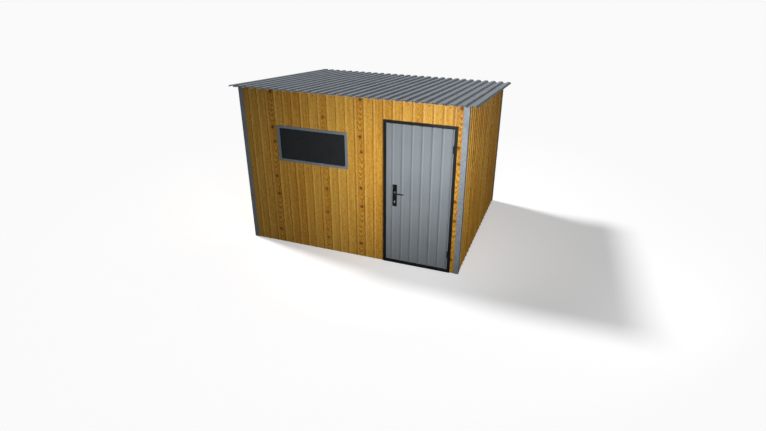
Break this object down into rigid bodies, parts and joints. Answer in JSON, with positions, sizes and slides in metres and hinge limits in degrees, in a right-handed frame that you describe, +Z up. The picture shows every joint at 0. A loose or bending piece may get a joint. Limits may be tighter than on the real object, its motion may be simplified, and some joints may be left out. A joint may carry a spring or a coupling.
{
  "type": "garden shed",
  "caption": "Ribbed sheet-steel garden shed with a wood look, a single-slope roof, a hinged door with a lever handle and a fixed window.",
  "frame": {"origin": "on the ground, under the middle of the bounding box", "axes": "+X to the right along the front wall as seen from outside, +Y from the front to the back, +Z up"},
  "size_m": [3.18, 2.701, 2.1847],
  "materials": {
    "frame_tube": "galvanised, satin",
    "wood_look_sheet": "printed wood grain, satin",
    "corner_trim": "grey, satin",
    "roof_sheet": "grey, satin",
    "window_frame": "blue grey, satin",
    "window_glass": "clear, dark room behind",
    "door_frame": "black, satin",
    "door_sheet": "light grey, satin",
    "handle": "black, semi-gloss",
    "lock_steel": "brushed"
  },
  "bodies": {
    "root": {"base_rails": "frame_tube", "corner_posts": "frame_tube", "door_posts": "frame_tube", "back_post": "frame_tube", "front_rails": "frame_tube", "window_studs": "frame_tube", "mid_rails": "frame_tube", "side_top_rails": "frame_tube", "eaves_rails": "frame_tube", "purlins": "frame_tube", "front_sheet_left": "wood_look_sheet", "front_sheet_under_window": "wood_look_sheet", "front_sheet_over_window": "wood_look_sheet", "front_sheet_middle": "wood_look_sheet", "front_sheet_over_door": "wood_look_sheet", "front_sheet_right": "wood_look_sheet", "left_sheet": "wood_look_sheet", "right_sheet": "wood_look_sheet", "back_sheet": "wood_look_sheet", "trim_front_left": "corner_trim", "trim_front_right": "corner_trim", "trim_back_left": "corner_trim", "trim_back_right": "corner_trim", "roof_sheet": "roof_sheet", "window_head": "window_frame", "window_sill": "window_frame", "window_jambs": "window_frame", "window_glass": "window_glass", "door_jamb_left": "door_frame", "door_jamb_right": "door_frame", "door_head": "door_frame", "door_sill": "door_frame", "hinge_pins": "door_frame"},
    "door": {"leaf_stiles": "door_frame", "leaf_rails": "door_frame", "leaf_sheet": "door_sheet", "hinge_barrels": "door_frame", "plate_outer": "handle", "plate_inner": "handle", "lock_case": "lock_steel", "lock_cylinder": "lock_steel"},
    "handle": {"lever_outer": "handle", "lever_inner": "handle", "spindle": "lock_steel"}
  },
  "joints": [
    {"name": "door_hinge", "type": "hinge", "parent": "root", "child": "door", "pos_m": [1.3475, -1.2815, 0.9], "axis": [0, 0, 1], "range_deg": [0, 120]},
    {"name": "lever_turn", "type": "hinge", "parent": "door", "child": "handle", "pos_m": [0.6345, -1.25, 1.01], "axis": [0, 1, 0], "range_deg": [0, 40], "stiffness_Nm_per_rad": 1, "springref_deg": -34.38}
  ]
}
